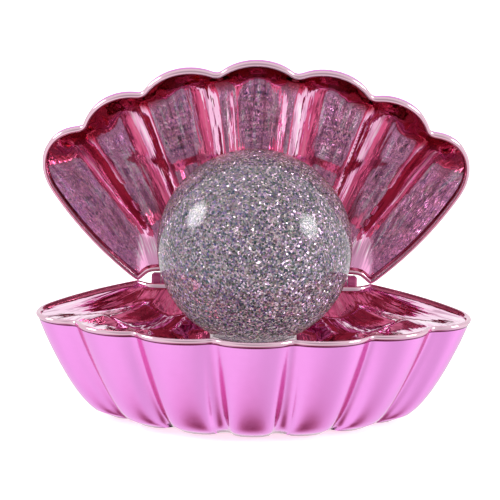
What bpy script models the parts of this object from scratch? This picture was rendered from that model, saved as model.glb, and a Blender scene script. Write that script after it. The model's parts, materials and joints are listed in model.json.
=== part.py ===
"""Open clam-shell ornament: two seven-lobed halves on a pin hinge, a glitter globe and an air line.

World frame: +Z up, -Y to the front, origin under the middle of the foot pad.
The halves are drawn in hinge coordinates: x across, reach forward from the hinge axis, and height
above the rim plane. Plan points of the outline are fractions of the width.
"""
import math

import bmesh
import bpy
from mathutils import Vector
from mathutils.bvhtree import BVHTree

# Overall
WIDTH = 0.150
SHELL_DEPTH = 0.037
GAP = 0.0003
AXIS_Y = 0.034
RIM_Z = 0.0387
LID_OPEN = math.radians(65.0)

# Plan outline as fractions of the width: notches between lobes, then the side and the hinge corner
NOTCHES = ((0.0920, 0.5906), (0.2679, 0.5343), (0.4051, 0.4394))
TIP_HANDLES = ((0.495, 0.436), (0.530, 0.335))
SIDE_TOP = (0.475, 0.245)
HINGE_CORNER = (0.288, 0.006)
REAR_BEND = (0.250, 0.024)
LOBE_BULGE = 0.20
SIDE_BULGE = 0.04
LOBE_STEPS = 6
SIDE_STEPS = 4
REAR_STEPS = 2

# Shell halves
WALL_CENTRE = 0.22 * WIDTH
SHELL_WALL = 0.0022
WALL_LEVELS = (0.0, 0.20, 0.45, 0.70, 0.88, 0.97, 1.0)
LOWER_DRAFT = (0.240, 1.2, 0.094)
GROOVE = 0.0034
GROOVE_POWER = 0.7
FOOT_OPENING = 0.56
LID_DEPTH = 0.0270
LID_BEAD = 0.0034
LID_LEVELS = (0.0, 0.126, 0.25, 0.42, 0.62, 0.82, 0.95, 1.0)
LID_DRAFT = (0.370, 0.9, 0.070)
CROWN_SCALES = (0.42, 0.26, 0.10)
CROWN_RISE = 0.0020

# Mirror tray and lid liner
FAN_CENTRE = 0.130 * WIDTH
SKIN = 0.0012
SKIN_INSET = 0.0049
SKIN_DROP = 0.0006
FAN_SCALES = (1.0, 0.96, 0.88, 0.74, 0.56, 0.36, 0.16)
FLUTE_ORIGIN = -0.45 * WIDTH
FLUTE_START = 0.0120
TRAY_DEPTH = 0.0150
TRAY_SHAPE = (0.0012, 0.0040, 0.0115, 0.0040)
LINER_SHAPE = (0.0068, 0.0125, 0.0065, 0.0058)
BOWL_MIDDLE = 0.27 * WIDTH
BOWL_SIZE = (0.54 * WIDTH, 0.36 * WIDTH)
BOWL_RISE = 0.0140
FRONT_START = 0.20
FRONT_SPAN = 0.15
PAD_RADIUS = 0.0210
PAD_BLEND = 0.0070
POST_RADIUS = 0.0034
POST_BORE = 0.0014
POST_BORE_DEPTH = 0.0070
TRAY_POSTS = ((-0.033, 0.034), (0.033, 0.034), (-0.018, 0.053), (0.018, 0.053))
LINER_POSTS = ((-0.026, 0.030), (0.026, 0.030), (-0.017, 0.052), (0.017, 0.052))
VENT_RADIUS = 0.0012
VENT_SPACING = 0.0060
VENT_COUNT = 5
VENT_REACH = 0.0170
VENT_CUT = 0.0250

# Globe
GLOBE_RADIUS = 0.0338
GLOBE_REACH = 0.0450
GLOBE_HEIGHT = 0.0223
GLOBE_WALL = 0.0016
FILLER_RADIUS = 0.0040
SEAT_LIFT = 0.0013
SEAT_OUTER = 0.0150
SEAT_INNER = 0.0125
FILL_GAP = 0.0004
PLUG_FLANGE = (0.0050, 0.0010)
GLOBE_STEPS = 22
GLOBE_RINGS = 12

# Base
PLATE_THICK = 0.0022
PAD_THICK = 0.0015
FOOT_PAD = (0.054, 0.034)
FOOT_PAD_CORNER = 0.010
FOOT_PAD_BORE = 0.0032
CORNER_STEPS = 5
BALLAST = (0.050, 0.0145, 0.0090)
BALLAST_REACH = 0.0405
SCREW_CLEARANCE = 0.0017
BALLAST_SCREW_X = 0.016
BALLAST_BORE = 0.0014
BALLAST_BORE_DEPTH = 0.006
SCREW_HEAD = (0.0027, 0.0011)
SCREW_SHANK = 0.0011
BASE_SCREW_LENGTH = 0.0085
BALLAST_SCREW_LENGTH = 0.0075
LID_SCREW_LENGTH = 0.0095

# Hinge
PIN_RADIUS = 0.0015
PIN_HALF = 0.0355
PIN_HOLE = 0.0018
PIN_CAP = (0.0016, 0.0008)
BARREL_RADIUS = 0.0030
LID_BARREL_HALF = 0.0220
BARREL_GAP = 0.0004
BARREL_END = 0.0335
BRACKET_THICK = 0.0018
BRACKET_TAPER = 0.0008
BRACKET_TOP = 0.0034
BRACKET_BEVEL = 0.0016
BRACKET_FOOT = 0.0135
WEB_ROOTS = ((0.0016, 0.0), (-0.0020, 0.0010))
WEB_ENDS = ((-0.0002, 0.0006), (-0.0024, 0.0016))
SHELF_HALF = 0.0090
SHELF_SINK = 0.0005
SHELF_THICK = 0.0016
SHELF_ROOT = 0.0040
SHELF_REACH = -0.0135
SHELF_TOP = -0.0042
STOP_PAD = (0.0160, 0.0045, 0.0072)
STOP_REACH = -0.0102
BRACKET_SCREW_X = (-0.029, 0.029)
LID_SCREW_X = (-0.014, 0.014)
BRACKET_SCREW_DROP = 0.0095
BRACKET_SCREW_HEAD = (0.0022, 0.0010)
BRACKET_SCREW_SHANK = 0.0008
BRACKET_SCREW_END = 0.0020
BRACKET_SCREW_BORE = 0.0011
BRACKET_CLEARANCE = 0.0014

# Air path
BARB_X = 0.024
BARB_DROP = 0.0228
BARB_BODY = 0.0030
BARB_FLANGE = (0.0048, 0.0016)
BARB_STANDOFF = 0.0010
BARB_STEM = 0.0017
BARB_RIDGE = 0.0024
BARB_PITCH = 0.0028
BARB_RIDGES = 3
BARB_RIDGE_START = 0.0030
BARB_LENGTH = 0.0118
BARB_BORE = 0.0009
NUT_RADIUS = 0.0046
NUT_THICK = 0.0024
HOSE_OUTER = 0.0024
HOSE_INNER = 0.0017
HOSE_STEPS = 8
HOSE_SIDES = 12
HOSE_HANDLE = 0.0085
SPIGOT_START = 0.0032
SPIGOT_END = 0.0062
SPIGOT_BEVEL = 0.0005
STONE_RADIUS = 0.0044
STONE_BEVEL = 0.0008
STONE_LEFT = -0.026
STONE_RIGHT = 0.009
STONE_REACH = 0.0235
STONE_DROP = 0.0288
NIPPLE_LENGTH = 0.0045
CLIP_X = (-0.020, 0.002)
CLIP_WIDTH = 0.0050
CLIP_WALL = 0.0014
CLIP_STEPS = 8

# Facets of round parts, and how far guide solids run past what they cut
ROUND_STEPS = 16
SCREW_STEPS = 10
OVERCUT = 0.002
WALL_CUT = 0.006
CROWN_CUT = 0.008
PIN_CUT = 0.045


# ---------------------------------------------------------------- outline and section formulas

def arc_points(start, end, bulge, steps):
    """Points on the arc from start to end, without the end, that swells away from the plan's middle."""
    a = Vector(start)
    b = Vector(end)
    chord = (b - a).length
    half = 2.0 * math.atan(2.0 * bulge)
    radius = chord / (2.0 * math.sin(half))
    along = (b - a) / chord
    out = Vector((along.y, -along.x))
    middle = (a + b) / 2.0
    if out.dot(middle - Vector((0.0, WALL_CENTRE / WIDTH))) < 0.0:
        out = -out
    points = []
    for step in range(steps):
        angle = -half + 2.0 * half * step / steps
        rise = radius * (math.cos(angle) - math.cos(half))
        points.append(middle + along * radius * math.sin(angle) + out * rise)
    return points


def bezier_points(p0, p1, p2, p3, steps):
    """Points on a cubic curve, without its end."""
    points = []
    for step in range(steps):
        t = step / steps
        u = 1.0 - t
        weights = (u ** 3, 3 * u * u * t, 3 * u * t * t, t ** 3)
        parts = (Vector(p) * w for p, w in zip((p0, p1, p2, p3), weights))
        points.append(sum(parts, Vector((0.0, 0.0))))
    return points


def half_outline(ears):
    """Right half from the front middle to the rear middle, as (x, reach, crest) in metres.

    ears adds the point that each hinge corner runs back to; crest is 1 at a notch and 0 mid-lobe.
    """
    corner = HINGE_CORNER if ears else (HINGE_CORNER[0], REAR_BEND[1])
    first = NOTCHES[0]
    points = []
    front = arc_points((-first[0], first[1]), first, LOBE_BULGE, LOBE_STEPS)
    for step in range(LOBE_STEPS // 2, LOBE_STEPS):
        points.append((front[step], (2.0 * step / LOBE_STEPS - 1.0) ** 2))
    for start, end in zip(NOTCHES, NOTCHES[1:]):
        for step, point in enumerate(arc_points(start, end, LOBE_BULGE, LOBE_STEPS)):
            points.append((point, (2.0 * step / LOBE_STEPS - 1.0) ** 2))
    tip = bezier_points(NOTCHES[-1], TIP_HANDLES[0], TIP_HANDLES[1], SIDE_TOP, LOBE_STEPS)
    for step, point in enumerate(tip):
        points.append((point, (1.0 - step / LOBE_STEPS) ** 2))
    for point in arc_points(SIDE_TOP, corner, SIDE_BULGE, SIDE_STEPS):
        points.append((point, 0.0))
    if ears:
        points.append((Vector(corner), 0.0))
    bend = REAR_BEND[0] if ears else corner[0]
    for step in range(REAR_STEPS + 1):
        x = bend * (1.0 - step / REAR_STEPS)
        points.append((Vector((x, REAR_BEND[1])), 0.0))
    return [(p.x * WIDTH, p.y * WIDTH, crest) for p, crest in points]


def mirrored(right):
    """A closed outline from its right half."""
    left = [(-x, reach, crest) for x, reach, crest in reversed(right[1:-1])]
    return right + left


def shell_outline():
    """Outline of both halves, with an ear at each hinge corner."""
    return mirrored(half_outline(True))


def fan_outline():
    """Outline of tray and liner, without the ears."""
    return inset_outline(mirrored(half_outline(False)), SKIN_INSET)


def inset_outline(outline, distance):
    """Moves every outline point inwards by distance, along the normal of its neighbours."""
    count = len(outline)
    moved = []
    for index, (x, reach, crest) in enumerate(outline):
        before = Vector(outline[index - 1][:2])
        after = Vector(outline[(index + 1) % count][:2])
        tangent = (after - before).normalized()
        inward = Vector((tangent.y, -tangent.x))
        if inward.dot(Vector((0.0, WALL_CENTRE)) - Vector((x, reach))) < 0.0:
            inward = -inward
        moved.append((x + inward.x * distance, reach + inward.y * distance, crest))
    return moved


def scaled(outline, centre, scale):
    """The outline shrunk towards a point on the middle line."""
    return [(x * scale, centre + (reach - centre) * scale, crest) for x, reach, crest in outline]


def wall_scale(rise, draft):
    """Scale of the outer wall at a share of its height, for a draft of (amount, power, corner)."""
    amount, power, corner = draft
    return 1.0 - amount * rise ** power - corner * (1.0 - math.sqrt(1.0 - rise ** 6))


def wall_at(level, side):
    """Scale of the outer wall at a distance from the rim plane, for the lower half (-1) or the lid (+1)."""
    if side < 0.0:
        return wall_scale(min(1.0, max(0.0, level / SHELL_DEPTH)), LOWER_DRAFT)
    rise = (level - LID_BEAD) / (LID_DEPTH - LID_BEAD)
    return wall_scale(min(1.0, max(0.0, rise)), LID_DRAFT)


def grooved(outline, depth):
    """The outline with its notches pushed further in."""
    deeper = inset_outline(outline, depth)
    ring = []
    for (x, reach, crest), (far_x, far_reach, _) in zip(outline, deeper):
        share = crest ** 2
        ring.append((x + (far_x - x) * share, reach + (far_reach - reach) * share, crest))
    return ring


def rear_wall(level, side=-1.0):
    """Reach of the outer rear wall at a distance from the rim plane."""
    rim = REAR_BEND[1] * WIDTH
    return WALL_CENTRE + (rim - WALL_CENTRE) * wall_at(level, side)


def rear_slope(level, side=-1.0):
    """Angle between the outer rear wall and the vertical."""
    step = 0.0005
    return math.atan2(rear_wall(level + step, side) - rear_wall(level - step, side), 2.0 * step)


def globe_underside(radius, clearance):
    """Height of a sphere that clears the globe, at a radius from the globe's vertical axis."""
    return GLOBE_HEIGHT - math.sqrt((GLOBE_RADIUS + clearance) ** 2 - radius ** 2)


def smooth_step(value):
    """Smooth step from 0 to 1."""
    value = min(1.0, max(0.0, value))
    return value * value * (3.0 - 2.0 * value)


def edge_distance(x, reach, edge):
    """Distance from a plan point to a closed outline."""
    spot = Vector((x, reach))
    nearest = WIDTH
    for index, corner in enumerate(edge):
        start = Vector(edge[index - 1][:2])
        along = Vector(corner[:2]) - start
        share = min(1.0, max(0.0, (spot - start).dot(along) / along.length_squared))
        nearest = min(nearest, (start + along * share - spot).length)
    return nearest


def flute_crest(x, reach):
    """1 on a ridge and 0 in mid-trough: ridges fan out through the notches from a point behind the hinge."""
    angle = abs(math.atan2(x, reach - FLUTE_ORIGIN))
    ridges = [math.atan2(nx * WIDTH, ny * WIDTH - FLUTE_ORIGIN) for nx, ny in NOTCHES]
    borders = [-ridges[0]] + ridges + [2.0 * ridges[-1] - ridges[-2]]
    for low, high in zip(borders, borders[1:]):
        if low <= angle <= high:
            middle_out = 2.0 * (angle - low) / (high - low) - 1.0
            beyond = high > ridges[-1] and middle_out > 0.0
            return 0.0 if beyond else middle_out ** 2
    return 0.0


def fan_height(x, reach, edge, shape):
    """Height of a fluted mirror surface: an edge band, a bowl and troughs along the lobes."""
    band_depth, band_width, bowl, flute = shape
    away = edge_distance(x, reach, edge)
    frontal = smooth_step((reach / WIDTH - FRONT_START) / FRONT_SPAN)
    band = band_depth * frontal * min(1.0, away / band_width)
    across = x / BOWL_SIZE[0]
    ahead = (reach - BOWL_MIDDLE) / BOWL_SIZE[1]
    dish = bowl * max(0.0, 1.0 - across ** 2 - ahead ** 2) * smooth_step(away / BOWL_RISE)
    spread = (reach - FLUTE_ORIGIN) / (NOTCHES[0][1] * WIDTH - FLUTE_ORIGIN)
    ridge = flute * spread * flute_crest(x, reach) * smooth_step(away / FLUTE_START)
    return ridge - band - dish


def tray_height(x, reach, edge):
    """The lower fan with a flat round pad under the globe."""
    height = fan_height(x, reach, edge, TRAY_SHAPE)
    away = math.hypot(x, reach - GLOBE_REACH)
    return height + (-TRAY_DEPTH - height) * smooth_step((PAD_RADIUS + PAD_BLEND - away) / PAD_BLEND)


def liner_height(x, reach, edge):
    """The upper fan."""
    return fan_height(x, reach, edge, LINER_SHAPE)


# ---------------------------------------------------------------- mesh tools

def material(name, colour, roughness, metallic, transmission=0.0):
    """A Principled material with one finish."""
    made = bpy.data.materials.new(name)
    made.use_nodes = True
    shader = made.node_tree.nodes["Principled BSDF"]
    shader.inputs["Base Color"].default_value = (*colour, 1.0)
    shader.inputs["Roughness"].default_value = roughness
    shader.inputs["Metallic"].default_value = metallic
    shader.inputs["Transmission Weight"].default_value = transmission
    return made


def new_object(name, mesh_builder, finish, parent=None, smooth_angle=40.0):
    """Turns a bmesh into a named object with outward faces and smooth shading up to an angle."""
    bmesh.ops.recalc_face_normals(mesh_builder, faces=mesh_builder.faces)
    mesh = bpy.data.meshes.new(name)
    mesh_builder.to_mesh(mesh)
    mesh_builder.free()
    mesh.shade_smooth()
    mesh.set_sharp_from_angle(angle=math.radians(smooth_angle))
    made = bpy.data.objects.new(name, mesh)
    bpy.context.collection.objects.link(made)
    if finish is not None:
        mesh.materials.append(finish)
    made.parent = parent
    return made


def add_ring(builder, outline, heights):
    """Adds one closed loop of vertices in hinge coordinates."""
    return [builder.verts.new((x, -reach, h)) for (x, reach, crest), h in zip(outline, heights)]


def join_rings(builder, rings):
    """Skins neighbouring rings of equal length with quads."""
    for low, high in zip(rings, rings[1:]):
        count = len(low)
        for index in range(count):
            after = (index + 1) % count
            builder.faces.new((low[index], low[after], high[after], high[index]))


def fan_cap(builder, ring, centre):
    """Closes a ring with triangles to one middle vertex."""
    middle = builder.verts.new(centre)
    for index, vertex in enumerate(ring):
        builder.faces.new((vertex, ring[(index + 1) % len(ring)], middle))


def add_lathe(builder, profile, steps, centre=(0.0, 0.0, 0.0), axis="Z"):
    """Spins a (radius, height) profile round an axis; points on the axis become poles.

    A profile that starts off the axis is closed from its end back to its start.
    """
    rings = []
    for radius, height in profile:
        count = 1 if radius < 1e-7 else steps
        ring = []
        for index in range(count):
            turn = 2.0 * math.pi * index / steps
            across = radius * math.cos(turn)
            around = radius * math.sin(turn)
            local = (across, around, height) if axis == "Z" else (height, across, around)
            ring.append(builder.verts.new(Vector(local) + Vector(centre)))
        rings.append(ring)
    if profile[0][0] > 1e-7:
        rings.append(rings[0])
    for low, high in zip(rings, rings[1:]):
        for index in range(steps):
            after = (index + 1) % steps
            corners = [low[index % len(low)], low[after % len(low)]]
            corners += [high[after % len(high)], high[index % len(high)]]
            unique = list(dict.fromkeys(corners))
            if len(unique) > 2:
                builder.faces.new(unique)


def add_prism(builder, section, low_x, high_x):
    """Extrudes a (reach, height) polygon across x."""
    ends = []
    for x in (low_x, high_x):
        ends.append([builder.verts.new((x, -reach, height)) for reach, height in section])
    builder.faces.new(ends[0])
    builder.faces.new(ends[1])
    join_rings(builder, ends)


def add_slab(builder, outline, low, high):
    """Extrudes a plan outline of (x, reach) pairs between two heights."""
    ends = []
    for height in (low, high):
        ends.append([builder.verts.new((p[0], -p[1], height)) for p in outline])
    builder.faces.new(ends[0])
    builder.faces.new(ends[1])
    join_rings(builder, ends)


def rectangle(width, length, reach):
    """Plan outline of a rectangle centred on the middle line."""
    half = width / 2.0
    rear = reach - length / 2.0
    front = reach + length / 2.0
    return [(half, rear), (half, front), (-half, front), (-half, rear)]


def rounded_rectangle(width, length, reach, corner, steps):
    """Plan outline of a rectangle with round corners."""
    points = []
    inner = (width / 2.0 - corner, length / 2.0 - corner)
    for quarter, (sx, sy) in enumerate(((1, 1), (-1, 1), (-1, -1), (1, -1))):
        for step in range(steps + 1):
            turn = math.pi / 2.0 * (quarter + step / steps)
            x = sx * inner[0] + corner * math.cos(turn)
            y = sy * inner[1] + corner * math.sin(turn)
            points.append((x, reach + y))
    return points


def cutter(name, builder, parent):
    """A guide solid for a Boolean; it isn't part of the object."""
    made = new_object(name, builder, None, parent)
    made.hide_render = True
    made.display_type = "WIRE"
    return made


def combine(target, tool, operation):
    """Adds an exact Boolean with a guide solid."""
    modifier = target.modifiers.new(tool.name, "BOOLEAN")
    modifier.operation = operation
    modifier.solver = "EXACT"
    modifier.object = tool


def thicken(target, thickness, offset):
    """Turns an open sheet into a closed wall."""
    modifier = target.modifiers.new("wall", "SOLIDIFY")
    modifier.thickness = thickness
    modifier.offset = offset


def surface_height(target, x, reach, from_above):
    """Height of a sheet's surface over a plan point."""
    tree = BVHTree.FromPolygons([v.co for v in target.data.vertices],
                                [p.vertices for p in target.data.polygons])
    start = 1.0 if from_above else -1.0
    hit = tree.ray_cast(Vector((x, -reach, start)), Vector((0.0, 0.0, -start)))
    return hit[0].z


# ---------------------------------------------------------------- shells, tray and liner

def shell_sheet(name, finish, parent, side):
    """Outer skin of one half. side is -1 below the rim plane and +1 above it."""
    outline = shell_outline()
    depth = SHELL_DEPTH if side < 0.0 else LID_DEPTH
    builder = bmesh.new()
    rings = []
    for share in WALL_LEVELS if side < 0.0 else LID_LEVELS:
        ring = scaled(outline, WALL_CENTRE, wall_at(share * depth, side))
        ring = grooved(ring, GROOVE * share ** GROOVE_POWER)
        rings.append(add_ring(builder, ring, [side * share * depth] * len(ring)))
    if side < 0.0:
        ring = scaled(outline, WALL_CENTRE, FOOT_OPENING)
        rings.append(add_ring(builder, ring, [-depth] * len(ring)))
        join_rings(builder, rings)
    else:
        foot = wall_at(depth, side)
        for scale in CROWN_SCALES:
            ring = scaled(outline, WALL_CENTRE, scale)
            rise = CROWN_RISE * (1.0 - (scale / foot) ** 2)
            rings.append(add_ring(builder, ring, [depth + rise] * len(ring)))
        join_rings(builder, rings)
        fan_cap(builder, rings[-1], (0.0, -WALL_CENTRE, depth + CROWN_RISE))
    made = new_object(name, builder, finish, parent)
    face_sheet(made, side)
    return made


def fan_sheet(name, finish, parent, side, height_of):
    """Fluted mirror surface of one half, seen side up for the tray and down for the liner."""
    edge = fan_outline()
    builder = bmesh.new()
    rings = []
    for scale in FAN_SCALES:
        ring = scaled(edge, FAN_CENTRE, scale)
        heights = [side * (SKIN_DROP - height_of(x, r, edge)) for x, r, _ in ring]
        rings.append(add_ring(builder, ring, heights))
    join_rings(builder, rings)
    middle = height_of(0.0, FAN_CENTRE, edge)
    fan_cap(builder, rings[-1], (0.0, -FAN_CENTRE, side * (SKIN_DROP - middle)))
    made = new_object(name, builder, finish, parent)
    face_sheet(made, side)
    return made


def face_sheet(made, side):
    """Turns an open sheet's faces away from the rim plane, so that thickness can be added evenly."""
    builder = bmesh.new()
    builder.from_mesh(made.data)
    total = sum(face.normal.z * face.calc_area() for face in builder.faces)
    if total * side < 0.0:
        bmesh.ops.reverse_faces(builder, faces=builder.faces)
    builder.to_mesh(made.data)
    builder.free()


def screw_posts(target, places, side, end_height):
    """Joins hollow screw posts to the hidden side of a fan sheet."""
    posts = bmesh.new()
    bores = bmesh.new()
    for x, reach in places:
        skin = surface_height(target, x, reach, side < 0.0)
        top = skin + side * SKIN / 2.0
        post = [(0.0, end_height), (POST_RADIUS, end_height), (POST_RADIUS, top), (0.0, top)]
        add_lathe(posts, post, SCREW_STEPS, (x, -reach, 0.0))
        bore_end = end_height - side * POST_BORE_DEPTH
        open_end = end_height + side * OVERCUT
        bore = [(0.0, open_end), (POST_BORE, open_end), (POST_BORE, bore_end), (0.0, bore_end)]
        add_lathe(bores, bore, SCREW_STEPS, (x, -reach, 0.0))
    combine(target, cutter(target.name + "_post_guide", posts, target.parent), "UNION")
    combine(target, cutter(target.name + "_bore_guide", bores, target.parent), "DIFFERENCE")


def round_holes(target, places, radius, low, high, name):
    """Cuts vertical holes at plan points."""
    holes = bmesh.new()
    for x, reach in places:
        profile = [(0.0, low), (radius, low), (radius, high), (0.0, high)]
        add_lathe(holes, profile, SCREW_STEPS, (x, -reach, 0.0))
    combine(target, cutter(name, holes, target.parent), "DIFFERENCE")


def place_on_rear_wall(made, x, drop, side=-1.0):
    """Puts an object on the outer rear wall with its z axis along the wall's outward normal."""
    made.location = (x, -rear_wall(drop, side), side * drop)
    made.rotation_euler = (-(math.pi / 2.0 - side * rear_slope(drop, side)), 0.0, 0.0)


def wall_holes(target, across, drop, radius, side, name):
    """Cuts round holes at right angles to the rear wall."""
    holes = bmesh.new()
    profile = [(0.0, -WALL_CUT), (radius, -WALL_CUT), (radius, WALL_CUT), (0.0, WALL_CUT)]
    for x in across:
        add_lathe(holes, profile, ROUND_STEPS, (x, 0.0, 0.0))
    guide = cutter(name, holes, target.parent)
    place_on_rear_wall(guide, 0.0, drop, side)
    combine(target, guide, "DIFFERENCE")


def make_screws(name, places, head_z, side, length, finish, parent):
    """Pan-head screws along z, numbered from 1. side is +1 when the shank points up."""
    head, head_height = SCREW_HEAD
    shank = SCREW_SHANK
    profile = [(0.0, 0.0), (head * 0.75, 0.0), (head, head_height * 0.5), (head, head_height)]
    profile += [(shank, head_height), (shank, length - shank), (shank * 0.4, length), (0.0, length)]
    placed = [(radius, head_z + side * height) for radius, height in profile]
    for index, (x, reach) in enumerate(places):
        builder = bmesh.new()
        add_lathe(builder, placed, SCREW_STEPS)
        made = new_object(f"{name}_{index + 1}", builder, finish, parent)
        made.location = (x, -reach, 0.0)


# ---------------------------------------------------------------- base body

def make_lower_half(frame, pink, mirror):
    """Lower shell and tray."""
    shell = shell_sheet("lower_shell", pink, frame, -1.0)
    thicken(shell, SHELL_WALL, -1.0)
    wall_holes(shell, [BARB_X], BARB_DROP, BARB_BODY + GAP, -1.0, "barb_hole_guide")
    bore = BRACKET_SCREW_BORE
    wall_holes(shell, BRACKET_SCREW_X, BRACKET_SCREW_DROP, bore, -1.0, "base_bracket_hole_guide")
    tray = fan_sheet("inner_tray", mirror, frame, -1.0, tray_height)
    plate_top = -SHELL_DEPTH + GAP + PLATE_THICK
    thicken(tray, SKIN, 1.0)
    screw_posts(tray, TRAY_POSTS, -1.0, plate_top + GAP)
    vents = []
    for index in range(VENT_COUNT):
        vents.append(((index - (VENT_COUNT - 1) / 2.0) * VENT_SPACING, VENT_REACH))
    round_holes(tray, vents, VENT_RADIUS, -VENT_CUT, 0.0, "vent_guide")


def make_base_plate(frame, dark, steel, rubber):
    """Plate, weight, pad and their screws."""
    low = -SHELL_DEPTH + GAP
    outline = inset_outline(scaled(shell_outline(), WALL_CENTRE, FOOT_OPENING), GAP)
    builder = bmesh.new()
    add_slab(builder, outline, low, low + PLATE_THICK)
    plate = new_object("base_plate", builder, dark, frame)
    ballast_places = [(-BALLAST_SCREW_X, BALLAST_REACH), (BALLAST_SCREW_X, BALLAST_REACH)]
    places = list(TRAY_POSTS) + ballast_places
    top = low + PLATE_THICK
    round_holes(plate, places, SCREW_CLEARANCE, low - OVERCUT, top + OVERCUT, "plate_hole_guide")

    head_z = low - GAP - SCREW_HEAD[1]
    make_screws("base_screw", TRAY_POSTS, head_z, 1.0, BASE_SCREW_LENGTH, steel, frame)

    builder = bmesh.new()
    bottom = top + GAP
    add_slab(builder, rectangle(BALLAST[0], BALLAST[1], BALLAST_REACH), bottom, bottom + BALLAST[2])
    weight = new_object("ballast_plate", builder, steel, frame)
    bore_end = bottom + BALLAST_BORE_DEPTH
    round_holes(weight, ballast_places, BALLAST_BORE, bottom - OVERCUT, bore_end, "ballast_hole_guide")
    make_screws("ballast_screw", ballast_places, head_z, 1.0, BALLAST_SCREW_LENGTH, steel, frame)

    outline = rounded_rectangle(FOOT_PAD[0], FOOT_PAD[1], AXIS_Y, FOOT_PAD_CORNER, CORNER_STEPS)
    builder = bmesh.new()
    pad_top = -RIM_Z + PAD_THICK
    add_slab(builder, outline, -RIM_Z, pad_top)
    pad = new_object("foot_pad", builder, rubber, frame)
    round_holes(pad, places, FOOT_PAD_BORE, -RIM_Z - OVERCUT, pad_top + OVERCUT, "pad_hole_guide")


def make_globe(frame, clear, glitter, rubber):
    """Hollow globe, its filling, plug and seat."""
    centre = (0.0, -GLOBE_REACH, GLOBE_HEIGHT)
    inner = GLOBE_RADIUS - GLOBE_WALL
    builder = bmesh.new()
    profile = sphere_profile(GLOBE_RADIUS, FILLER_RADIUS)
    profile += list(reversed(sphere_profile(inner, FILLER_RADIUS)))
    add_lathe(builder, profile, GLOBE_STEPS, centre)
    new_object("globe_shell", builder, clear, frame)

    builder = bmesh.new()
    add_lathe(builder, sphere_profile(inner - FILL_GAP, 0.0), GLOBE_STEPS, centre)
    new_object("glitter_fill", builder, glitter, frame)

    builder = bmesh.new()
    flat = -GLOBE_RADIUS - GAP * 0.5
    stem_top = -inner - GAP
    flange, thick = PLUG_FLANGE
    profile = [(0.0, flat - thick), (flange, flat - thick), (flange, flat)]
    profile += [(FILLER_RADIUS - GAP, flat), (FILLER_RADIUS - GAP, stem_top), (0.0, stem_top)]
    add_lathe(builder, profile, ROUND_STEPS, centre)
    new_object("globe_plug", builder, rubber, frame)

    builder = bmesh.new()
    floor = -TRAY_DEPTH - SKIN_DROP + SEAT_LIFT
    profile = [(SEAT_INNER, floor), (SEAT_OUTER, floor)]
    for radius in (SEAT_OUTER, SEAT_INNER):
        profile.append((radius, globe_underside(radius, GAP)))
    add_lathe(builder, profile, ROUND_STEPS, (0.0, -GLOBE_REACH, 0.0))
    new_object("globe_seat_ring", builder, rubber, frame)


def sphere_profile(radius, hole):
    """Half circle from a hole at the bottom to the top pole, as (radius, height) pairs."""
    start = math.asin(hole / radius)
    points = []
    for step in range(GLOBE_RINGS + 1):
        angle = start + (math.pi - start) * step / GLOBE_RINGS
        points.append((max(0.0, radius * math.sin(angle)), -radius * math.cos(angle)))
    points[-1] = (0.0, radius)
    if hole == 0.0:
        points[0] = (0.0, -radius)
    return points


# ---------------------------------------------------------------- air path

def make_air_path(frame, plastic, rubber, hose, stone):
    """Hose barb through the rear wall, hose, air stone and its cradles."""
    builder = bmesh.new()
    inside = -SHELL_WALL - GAP
    flange, flange_thick = BARB_FLANGE
    flange_top = BARB_STANDOFF + flange_thick
    spigot = HOSE_INNER - GAP
    tip = inside - SPIGOT_END
    shoulder = inside - SPIGOT_START
    profile = [(spigot - SPIGOT_BEVEL, tip), (spigot, tip + SPIGOT_BEVEL), (spigot, shoulder)]
    profile += [(BARB_BODY, shoulder), (BARB_BODY, BARB_STANDOFF), (flange, BARB_STANDOFF)]
    profile += [(flange, flange_top), (BARB_STEM, flange_top)]
    start = BARB_STANDOFF + BARB_RIDGE_START
    profile.append((BARB_STEM, start))
    for index in range(BARB_RIDGES):
        profile.append((BARB_RIDGE, start + index * BARB_PITCH))
        profile.append((BARB_STEM, start + (index + 1) * BARB_PITCH))
    end = BARB_STANDOFF + BARB_LENGTH
    profile += [(BARB_BORE, end), (BARB_BORE, tip)]
    add_lathe(builder, profile, ROUND_STEPS)
    barb = new_object("air_inlet_barb", builder, plastic, frame, 30.0)
    place_on_rear_wall(barb, BARB_X, BARB_DROP)

    inner = BARB_BODY + GAP
    builder = bmesh.new()
    top = BARB_STANDOFF - GAP
    profile = [(inner, GAP), (flange, GAP), (flange, top), (inner, top)]
    add_lathe(builder, profile, ROUND_STEPS)
    seal = new_object("barb_seal", builder, rubber, frame)
    place_on_rear_wall(seal, BARB_X, BARB_DROP)

    builder = bmesh.new()
    high = inside - GAP
    low = high - NUT_THICK
    profile = [(inner, low), (NUT_RADIUS, low), (NUT_RADIUS, high), (inner, high)]
    add_lathe(builder, profile, ROUND_STEPS)
    nut = new_object("barb_nut", builder, plastic, frame)
    place_on_rear_wall(nut, BARB_X, BARB_DROP)

    make_hose(frame, hose, inside)
    make_stone(frame, stone, plastic)


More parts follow.
